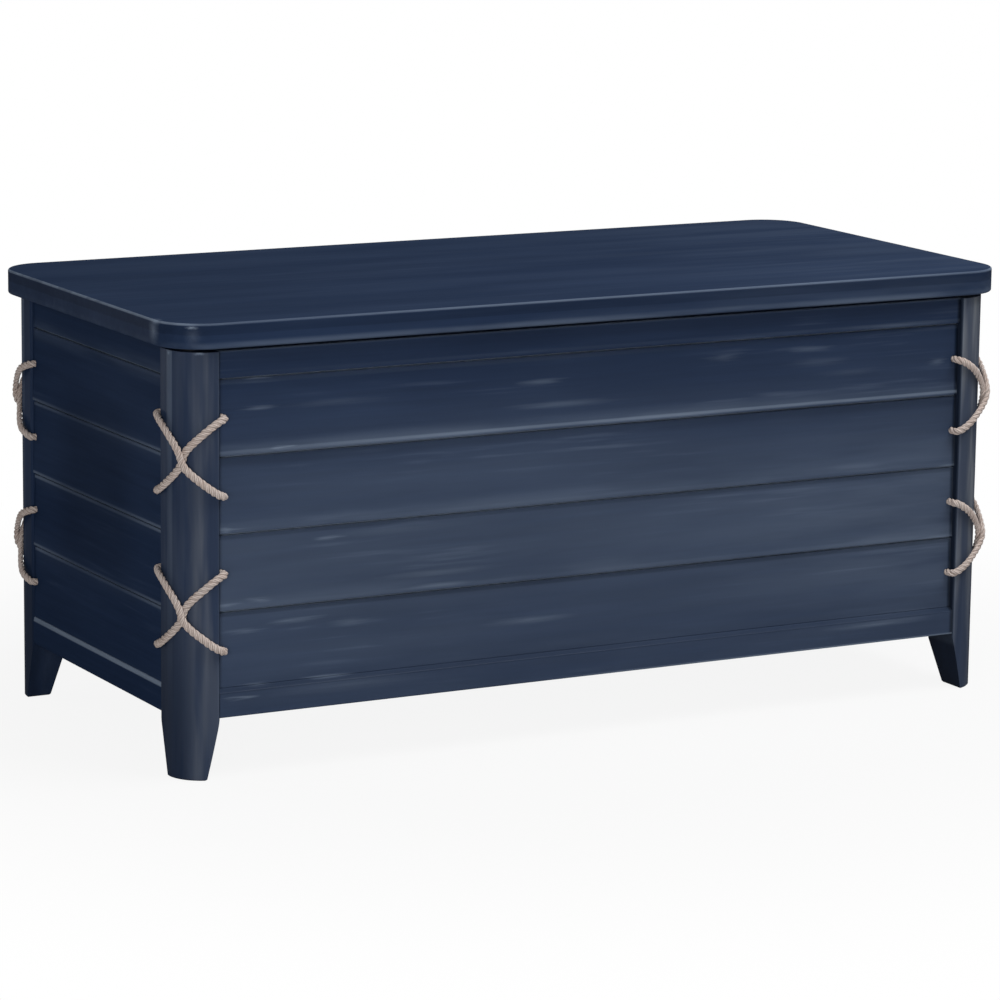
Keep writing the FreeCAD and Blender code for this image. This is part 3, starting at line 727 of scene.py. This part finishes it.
def smooth_run(points):
    """Places along the smooth spline that the points steer."""
    data = bpy.data.curves.new("route", "CURVE")
    data.dimensions = "3D"
    spline = data.splines.new("NURBS")
    spline.points.add(len(points) - 1)
    for place, point in zip(spline.points, points):
        place.co = (*point, 1.0)
    spline.order_u = 3
    spline.use_endpoint_u = True
    spline.resolution_u = 16
    curve = new_object("route", data)
    mesh = bpy.data.meshes.new_from_object(curve)
    places = [vertex.co.copy() for vertex in mesh.vertices]
    bpy.data.meshes.remove(mesh)
    bpy.data.objects.remove(curve)
    bpy.data.curves.remove(data)
    return places


def even_steps(places, step):
    """The same line with its places an even step apart."""
    reach = [0.0]
    for first, second in zip(places, places[1:]):
        reach.append(reach[-1] + (second - first).length)
    count = max(2, round(reach[-1] / step))
    even = []
    index = 0
    for number in range(count + 1):
        wanted = reach[-1] * number / count
        while index < len(reach) - 2 and reach[index + 1] < wanted:
            index += 1
        span = max(reach[index + 1] - reach[index], 1e-9)
        even.append(places[index].lerp(places[index + 1], min(1.0, max(0.0, (wanted - reach[index]) / span))))
    return even, reach[-1]


def directions(places):
    """Unit direction of a line at each of its places."""
    last = len(places) - 1
    return [(places[min(i + 1, last)] - places[max(i - 1, 0)]).normalized() for i in range(last + 1)]


def carried_side(ahead):
    """A unit vector across the line, carried along it without twisting."""
    side = ahead[0].orthogonal().normalized()
    sides = []
    for direction in ahead:
        side = (side - direction * side.dot(direction)).normalized()
        sides.append(side.copy())
    return sides


def pressed(place, corner):
    """Direction off the post at a place of a rope, with the rope's flatness and size there."""
    near = to_corner(place, corner)
    x = min(near.x - BODY_LEFT - POST_RADIUS, 0.0)
    y = min(near.y - BODY_FRONT - POST_RADIUS, 0.0)
    reach = max(math.hypot(x, y), 1e-6)
    on_post = min(1.0, max(0.0, (reach - POST_RADIUS + PRESS_INSET) / PRESS_FADE))
    side, front = CORNERS[corner]
    off = Vector((x * side, y * front, 0.0)) / reach
    return off, 1 - (1 - FLATNESS) * on_post, 1 - (1 - HOLE_TIGHTNESS) * (1 - on_post)


def in_wall(place, corner):
    """Whether a place of a rope lies in one of the walls' holes or at its mouth."""
    near = to_corner(place, corner)
    inwards_x, inwards_y = near.x - BODY_LEFT, near.y - BODY_FRONT
    front = inwards_x > POST_WIDTH and HOLE_MOUTH < inwards_y < WALL_INNER + INNER_MOUTH
    side = inwards_y > POST_DEPTH and HOLE_MOUTH < inwards_x < WALL_INNER + INNER_MOUTH
    return front or side


class RopeMesh:
    """Vertices, faces and UV places of one rope as it is laid."""

    def __init__(self, look):
        self.look = look
        self.vertices = []
        self.faces = []
        self.places = []

    def tube(self, line, centres, outwards, radii, presses, step):
        """Closed tube beside a rope's line, pressed flat with it; UV is metres along and turns round."""
        sides = self.look.sides
        ahead = directions(centres)
        start = len(self.vertices)
        for i, centre in enumerate(centres):
            out = (outwards[i] - ahead[i] * outwards[i].dot(ahead[i])).normalized()
            across = ahead[i].cross(out)
            off, flatness = presses[i]
            for k in range(sides):
                angle = TURN * k / sides + math.pi
                reach = centre - line[i] + (out * math.cos(angle) + across * math.sin(angle)) * radii[i]
                self.vertices.append(line[i] + reach - off * (reach.dot(off) * (1 - flatness)))
        for i in range(len(centres) - 1):
            for k in range(sides):
                here = start + i * sides + k
                beside = start + i * sides + (k + 1) % sides
                self.faces.append((here, beside, beside + sides, here + sides))
                low, high = i * step, (i + 1) * step
                self.places += [(low, k / sides), (low, (k + 1) / sides)]
                self.places += [(high, (k + 1) / sides), (high, k / sides)]
        last = start + (len(centres) - 1) * sides
        self.faces.append(tuple(range(start + sides - 1, start - 1, -1)))
        self.faces.append(tuple(range(last, last + sides)))
        self.places += [(0.0, k / sides) for k in range(sides)] * 2

    def rope(self, line, twist, press=None):
        """Three strands laid round a line; press gives the direction off the post, flatness and size."""
        look = self.look
        even, length = even_steps(line, look.step)
        ahead = directions(even)
        sides = carried_side(ahead)
        count = len(even)
        shapes = [press(place) if press else (Vector((0, 0, 1)), 1.0, HOLE_TIGHTNESS) for place in even]
        for strand in range(3):
            centres, outwards, radii = [], [], []
            for i, place in enumerate(even):
                run = length * i / (count - 1)
                angle = twist + TURN * (strand / 3 + run / look.lay)
                out = sides[i] * math.cos(angle) + ahead[i].cross(sides[i]) * math.sin(angle)
                wave = 1 + SLOW_SWELL * math.sin(TURN * (run / SLOW_LENGTH + strand * 0.37))
                wave += QUICK_SWELL * math.sin(TURN * run / QUICK_LENGTH)
                from_end = min(i, count - 1 - i) * look.step
                swell = END_LEAST + (1 - END_LEAST) * min(1.0, from_end / END_TAPER)
                size = look.radius * shapes[i][2]
                radii.append(size * STRAND_SHARE * wave * swell)
                centres.append(place + out * size * (1 - STRAND_SHARE))
                outwards.append(out)
            self.tube(even, centres, outwards, radii, [shape[:2] for shape in shapes], length / (count - 1))
        return even, ahead, sides

    def fibre(self, root, out, ahead, reach, curl):
        """Loose fibre: a thin three-sided spike that leaves the rope and bends along it."""
        start = len(self.vertices)
        across = out.cross(ahead)
        for level in range(FIBRE_LEVELS):
            share = level / (FIBRE_LEVELS - 1)
            centre = root + out * (reach * share * (1 - FIBRE_BEND * share))
            centre += ahead * (reach * curl * share * share)
            thick = FIBRE_RADIUS * (1 - FIBRE_TAPER * share)
            for k in range(3):
                angle = TURN * k / 3
                self.vertices.append(centre + (ahead * math.cos(angle) + across * math.sin(angle)) * thick)
        for level in range(FIBRE_LEVELS - 1):
            for k in range(3):
                here = start + level * 3 + k
                beside = start + level * 3 + (k + 1) % 3
                self.faces.append((here, here + 3, beside + 3, beside))
                self.places += [(0.0, 0.0)] * 4
        last = start + (FIBRE_LEVELS - 1) * 3
        self.faces.append((start, start + 1, start + 2))
        self.faces.append((last + 2, last + 1, last))
        self.places += [(0.0, 0.0)] * 6

    def piece(self, name):
        mesh = bpy.data.meshes.new(name)
        mesh.from_pydata([tuple(vertex) for vertex in self.vertices], [], self.faces)
        layer = mesh.uv_layers.new(name="strand")
        layer.data.foreach_set("uv", [value for place in self.places for value in place])
        mesh.shade_smooth()
        return new_object(name, mesh)


def knot_line(centre, corner):
    """Line of the stopper knot: wraps round the tail inside the wall."""
    places = []
    for i in range(KNOT_STEPS + 1):
        share = i / KNOT_STEPS
        angle = TURN * KNOT_TURNS * share + KNOT_START
        grow = min(1.0, share * 6, (1 - share) * 6)
        reach = KNOT_RADIUS * (KNOT_LEAST + (1 - KNOT_LEAST) * grow)
        forward = KNOT_END + (KNOT_LENGTH - 2 * KNOT_END) * share
        places.append(centre + Vector((math.cos(angle) * reach, forward, math.sin(angle) * reach)))
    return [to_corner(place, corner) for place in places]


def lace(name, corner, middle, seed):
    """Lays one lacing with its two stopper knots and loose fibres."""
    look = bpy.context.scene.chest_rope
    mesh = RopeMesh(look)
    route = [to_corner(point, corner) for point in lacing_route(middle, EASE[corner])]
    line = smooth_run(route)
    even, ahead, sides = mesh.rope(line, seed * LACING_TWIST, lambda place: pressed(place, corner))
    hole_x = BODY_LEFT + POST_WIDTH + HOLE_INSET + KNOT_ASIDE
    for sign in (1, -1):
        centre = Vector((hole_x, BODY_FRONT + WALL_INNER, middle + sign * BOARD_HEIGHT / 2))
        mesh.rope(knot_line(centre, corner), sign)
    draw = random.Random(seed)
    for _ in range(look.fibres):
        i = draw.randrange(2, len(even) - 2)
        angle = draw.uniform(0, TURN)
        out = sides[i] * math.cos(angle) + ahead[i].cross(sides[i]) * math.sin(angle)
        reach = FIBRE_SHORT + FIBRE_LONG * draw.random() ** 2
        off, flatness, size = pressed(even[i], corner)
        root = out * look.radius * size * FIBRE_ROOT
        root = even[i] + root - off * (root.dot(off) * (1 - flatness))
        curl = draw.uniform(-FIBRE_CURL, FIBRE_CURL)
        if not in_wall(even[i], corner):
            mesh.fibre(root, out, ahead[i], reach, curl)
    return mesh.piece(name)


# Yarns round a strand, their turns in a metre, and colours of dull and bleached patches and of the painted
# shade in the furrows
YARNS = 5
YARN_TWIST = 95
DULL_FIBRE = (0.38, 0.275, 0.225)
BLEACHED_FIBRE = (0.47, 0.44, 0.43)
FURROW_SHADE = (0.17, 0.12, 0.095)


def rope_finish():
    """Natural fibre: yarns twisted in each strand, with painted light on their crowns, a warmer painted shade
    in between and painted shade in the furrows between the strands.
    """
    look = bpy.context.scene.chest_rope
    material, tree = new_material("natural_rope")
    place = node(tree, "UVMap", {"uv_map": "strand"}, {})
    along, around = [node(tree, "SeparateXYZ", {}, {"Vector": place}, axis) for axis in range(2)]
    spot = place_of(tree)
    yarn = ((around * YARNS - along * YARN_TWIST) * TURN).math("SINE") * 0.5 + 0.5
    stretch = node(tree, "CombineXYZ", {}, {0: along * 300 + around * 6, 1: around * 30})
    fibre = noise(tree, stretch, 1.0, 3.0, 0.6)
    blotch = noise(tree, spot, 70.0, 2.0, 0.5)
    fine = noise(tree, spot, 1500.0, 2.0, 0.6)
    # Painted light on the yarns' crowns, painted shade between them
    crown = (yarn ** 0.6 * 0.55 + fibre * 0.45).between(0.12, 0.72)
    colour = mix(tree, crown, look.warm_shade, look.pale)
    colour = mix(tree, blotch.between(0.42, 0.68) * 0.3, colour, DULL_FIBRE)
    colour = mix(tree, blotch.between(0.4, 0.26) * 0.35, colour, BLEACHED_FIBRE)
    # Painted shade in the furrows between the strands
    colour = mix(tree, abs(around - 0.5).between(0.14, 0.32) * 0.5, colour, FURROW_SHADE)
    relief = yarn * 0.5 + fibre * 0.35 + fine * 0.3
    bumped_surface(tree, colour, 0.84 + fine * 0.12, relief, 0.6, 0.0005, {"Specular IOR Level": 0.15})
    return material


class CHEST_OT_lacings(bpy.types.Operator):
    """Lace the four corner posts with twisted rope"""

    bl_idname = "chest.lacings"
    bl_label = "Lace the posts"

    def execute(self, context):
        material = rope_finish()
        seed = 1
        for corner in CORNERS:
            for name, level in (("upper", BOARD_LOWS[0]), ("lower", BOARD_LOWS[2])):
                piece = lace(f"rope_{corner}_{name}", corner, level, seed)
                use_material(piece, material)
                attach(piece, "chest_body")
                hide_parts(f"lacing_{corner}_{name}")
                seed += 1
        return {"FINISHED"}


# Hinges, screws and pads

def steel_finish(name, shade, axis, roughness):
    """Rolled steel with fine lines along one axis and dull patches."""
    material, tree = new_material(name)
    lines = pattern(tree, axis, 60.0, 2600.0, 3.0, 0.6)
    dull = pattern(tree, axis, 90.0, 90.0, 3.0, 0.55).between(0.4, 0.7)
    colour = mix(tree, dull * 0.6, (shade, shade, shade * 1.02), (shade * 0.55, shade * 0.53, shade * 0.52))
    rough = roughness + lines * 0.14 + dull * 0.18
    bumped_surface(tree, colour, rough, lines, 0.2, 0.0001, {"Metallic": 1.0})
    return material


def pad_finish():
    """Dark felt pads."""
    material, tree = new_material("dark_felt")
    nap = noise(tree, place_of(tree), 1800.0, 3.0, 0.7)
    colour = mix(tree, nap, (0.012, 0.012, 0.014), (0.05, 0.05, 0.055))
    bumped_surface(tree, colour, 0.95, nap, 0.7, 0.0003, {"Specular IOR Level": 0.1})
    return material


# Cross recesses, as shares of a head's radius and a depth, and how near counts as level or as one place
CROSS_REACH = 0.62
CROSS_WIDTH = 0.17
CROSS_DEPTH = 0.0011
LEVEL_WITHIN = 0.0001
JOIN_WITHIN = 0.00001
SCREWS = {"lid_batten_screws": "lid", "hinge_lid_screws": "lid",
          "hinge_body_screws": "chest_body", "floor_cleat_screws": "chest_body"}


def islands(mesh):
    """Groups of joined vertices' places."""
    waiting = set(mesh.verts)
    while waiting:
        group, edge = [], [waiting.pop()]
        while edge:
            vertex = edge.pop()
            group.append(vertex.co.copy())
            for link in vertex.link_edges:
                other = link.other_vert(vertex)
                if other in waiting:
                    waiting.discard(other)
                    edge.append(other)
        yield group


def head_of(group):
    """Middle, outward axis and radius of a screw's head."""
    low, high = (Vector([end(place[axis] for place in group) for axis in range(3)]) for end in (min, max))
    size = high - low
    axis = max(range(3), key=lambda one: size[one])
    aside = (axis + 1) % 3
    reach = []
    for level in (low[axis], high[axis]):
        ends = [place[aside] for place in group if abs(place[axis] - level) < LEVEL_WITHIN]
        reach.append((max(ends) - min(ends)) / 2)
    sign = 1 if reach[1] > reach[0] else -1
    out = Vector([0.0, 0.0, 0.0])
    out[axis] = sign
    middle = (low + high) / 2
    middle[axis] = high[axis] if sign > 0 else low[axis]
    return middle, out, max(reach)


def cross_cutter(heads):
    """Mesh with one cross-shaped prism for each screw head."""
    vertices, faces = [], []
    for middle, out, radius in heads:
        side = out.orthogonal().normalized()
        up = out.cross(side)
        a, b = radius * CROSS_REACH, radius * CROSS_WIDTH
        corners, outline = [(a, -b), (a, b), (b, b)], []
        for _ in range(4):
            outline += corners
            corners = [(-y, x) for x, y in corners]
        start, count = len(vertices), len(outline)
        for level in (-CROSS_DEPTH, CROSS_DEPTH):
            vertices += [middle + out * level + side * x + up * y for x, y in outline]
        faces.append([start + i for i in reversed(range(count))])
        faces.append([start + count + i for i in range(count)])
        for i in range(count):
            beside = (i + 1) % count
            faces.append([start + i, start + beside, start + count + beside, start + count + i])
    mesh = bpy.data.meshes.new("crosses")
    mesh.from_pydata([tuple(vertex) for vertex in vertices], [], faces)
    return mesh


def cross_head_screws(node_name):
    """A copy of a node's screws with a cross recess in every head."""
    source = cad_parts[node_name]
    mesh = source.data.copy()
    shape = bmesh.new()
    shape.from_mesh(mesh)
    bmesh.ops.remove_doubles(shape, verts=shape.verts, dist=JOIN_WITHIN)
    heads = [head_of(group) for group in islands(shape)]
    shape.to_mesh(mesh)
    shape.free()
    screws = new_object(f"cross_head_{node_name}", mesh)
    cutter = new_object("crosses", cross_cutter(heads))
    bpy.context.view_layer.objects.active = screws
    cut = screws.modifiers.new("cross", "BOOLEAN")
    cut.operation = "DIFFERENCE"
    cut.solver = "EXACT"
    cut.object = cutter
    bpy.ops.object.modifier_apply(modifier=cut.name)
    bpy.data.objects.remove(cutter)
    return screws


class CHEST_OT_screws(bpy.types.Operator):
    """Cut the cross recesses into the screws' heads"""

    bl_idname = "chest.screws"
    bl_label = "Cut the screw heads"

    def execute(self, context):
        material = steel_finish("screw_steel", 0.5, 1, 0.26)
        for name, body in SCREWS.items():
            piece = cross_head_screws(name)
            use_material(piece, material)
            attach(piece, body)
            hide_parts(name)
        return {"FINISHED"}


class CHEST_OT_hardware(bpy.types.Operator):
    """Finish the hinges and pads"""

    bl_idname = "chest.hardware"
    bl_label = "Finish the hardware"

    def execute(self, context):
        leaf = steel_finish("hinge_steel", 0.42, 0, 0.3)
        for piece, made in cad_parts.items():
            if piece.startswith(("hinge_left", "hinge_right")):
                use_material(made, leaf)
        use_material(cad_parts["lid_pads"], pad_finish())
        return {"FINISHED"}


# Stage

LAMP_TARGET = Vector((0.0, 0.0, 0.25))
FLOOR_GLOW = 0.9


def place_camera(look):
    """Camera at the photograph's angle."""
    right, up, back = camera_axes()
    data = bpy.data.cameras.new("camera")
    data.lens = look.lens
    data.sensor_width = SENSOR
    data.clip_end = 400.0
    camera = new_object("camera", data)
    axes = Matrix((right, up, back)).transposed().to_4x4()
    camera.matrix_world = Matrix.Translation(CAMERA_TARGET + back * look.distance) @ axes
    bpy.context.scene.camera = camera


def place_lamp(name, azimuth, elevation, distance, size, power):
    """Soft rectangular lamp that shines on the chest and is hidden from the camera."""
    data = bpy.data.lights.new(name, "AREA")
    data.shape = "RECTANGLE"
    data.size, data.size_y = size
    data.energy = power
    away = away_at(azimuth, elevation)
    lamp = new_object(name, data)
    turned = away.to_track_quat("Z", "Y").to_matrix().to_4x4()
    lamp.matrix_world = Matrix.Translation(LAMP_TARGET + away * distance) @ turned
    lamp.visible_camera = False


def floor_finish():
    """Pale floor that keeps the chest's shadow and reads white to the eye and in reflections."""
    material, tree = new_material("pale_floor")
    place = place_of(tree)
    reach = node(tree, "VectorMath", {"operation": "LENGTH"}, {0: place}, 1)
    fleck = noise(tree, place, 3.0, 2.0, 0.5)
    colour = mix(tree, fleck, (0.55, 0.55, 0.55), (0.58, 0.58, 0.58))
    paper = node(tree, "BsdfDiffuse", {}, {"Color": colour})
    glow = node(tree, "Emission", {}, {"Color": (1.0, 1.0, 1.0), "Strength": 1.0})
    seen = [node(tree, "LightPath", {}, {}, name)
            for name in ("Is Camera Ray", "Is Glossy Ray", "Is Transmission Ray")]
    ray = seen[0].math("MAXIMUM", seen[1]).math("MAXIMUM", seen[2])
    share = ray * reach.between(0.5, 1.3).at_least(FLOOR_GLOW)
    shader = node(tree, "MixShader", {}, {0: share, 1: paper, 2: glow})
    node(tree, "OutputMaterial", {}, {"Surface": shader})
    return material


class CHEST_OT_stage(bpy.types.Operator):
    """Set up the floor, lamps, surroundings and camera"""

    bl_idname = "chest.stage"
    bl_label = "Set up the studio"

    def execute(self, context):
        look = context.scene.chest_stage
        place_camera(look)
        bpy.ops.mesh.primitive_plane_add(size=look.floor_size, location=(0, 0, 0))
        floor = context.object
        floor.name = "studio_floor"
        use_material(floor, floor_finish())
        place_lamp("key", azimuth=42, elevation=60, distance=2.6, size=(2.0, 1.6), power=look.key_power)
        place_lamp("fill", azimuth=-40, elevation=8, distance=3.2, size=(0.9, 1.4), power=look.fill_power)
        place_lamp("strip", azimuth=-137, elevation=10, distance=1.9, size=(0.08, 1.2), power=3)
        world = bpy.data.worlds.new("studio")
        context.scene.world = world
        world.use_nodes = True
        tree = world.node_tree
        tree.nodes.clear()
        sky = node(tree, "Background", {}, {"Color": (1.0, 1.0, 1.0), "Strength": 0.15})
        node(tree, "OutputWorld", {}, {"Surface": sky})
        context.scene.view_settings.view_transform = "Standard"
        return {"FINISHED"}


class CHEST_PT_panel(bpy.types.Panel):
    """Steps and settings of the chest"""

    bl_idname = "CHEST_PT_panel"
    bl_label = "Storage chest"
    bl_space_type = "VIEW_3D"
    bl_region_type = "UI"
    bl_category = "Chest"

    def draw(self, context):
        for group in SETTINGS:
            column = self.layout.column(align=True)
            settings = getattr(context.scene, group)
            for name in type(settings).__annotations__:
                column.prop(settings, name)
        for step in STEPS:
            self.layout.operator(step.bl_idname)


STEPS = (CHEST_OT_stage, CHEST_OT_lacings, CHEST_OT_paint, CHEST_OT_hardware, CHEST_OT_screws)
SETTINGS = {"chest_stage": ChestStage, "chest_paint": ChestPaint, "chest_rope": ChestRope}
CLASSES = (*SETTINGS.values(), *STEPS, CHEST_PT_panel)


def register():
    for one in CLASSES:
        bpy.utils.register_class(one)
    for name, group in SETTINGS.items():
        setattr(bpy.types.Scene, name, PointerProperty(type=group))


def unregister():
    for name in SETTINGS:
        delattr(bpy.types.Scene, name)
    for one in reversed(CLASSES):
        bpy.utils.unregister_class(one)


def main():
    register()
    bpy.ops.chest.stage()
    bpy.ops.chest.lacings()
    bpy.ops.chest.paint()
    bpy.ops.chest.hardware()
    bpy.ops.chest.screws()


if __name__ == "__main__":
    main()
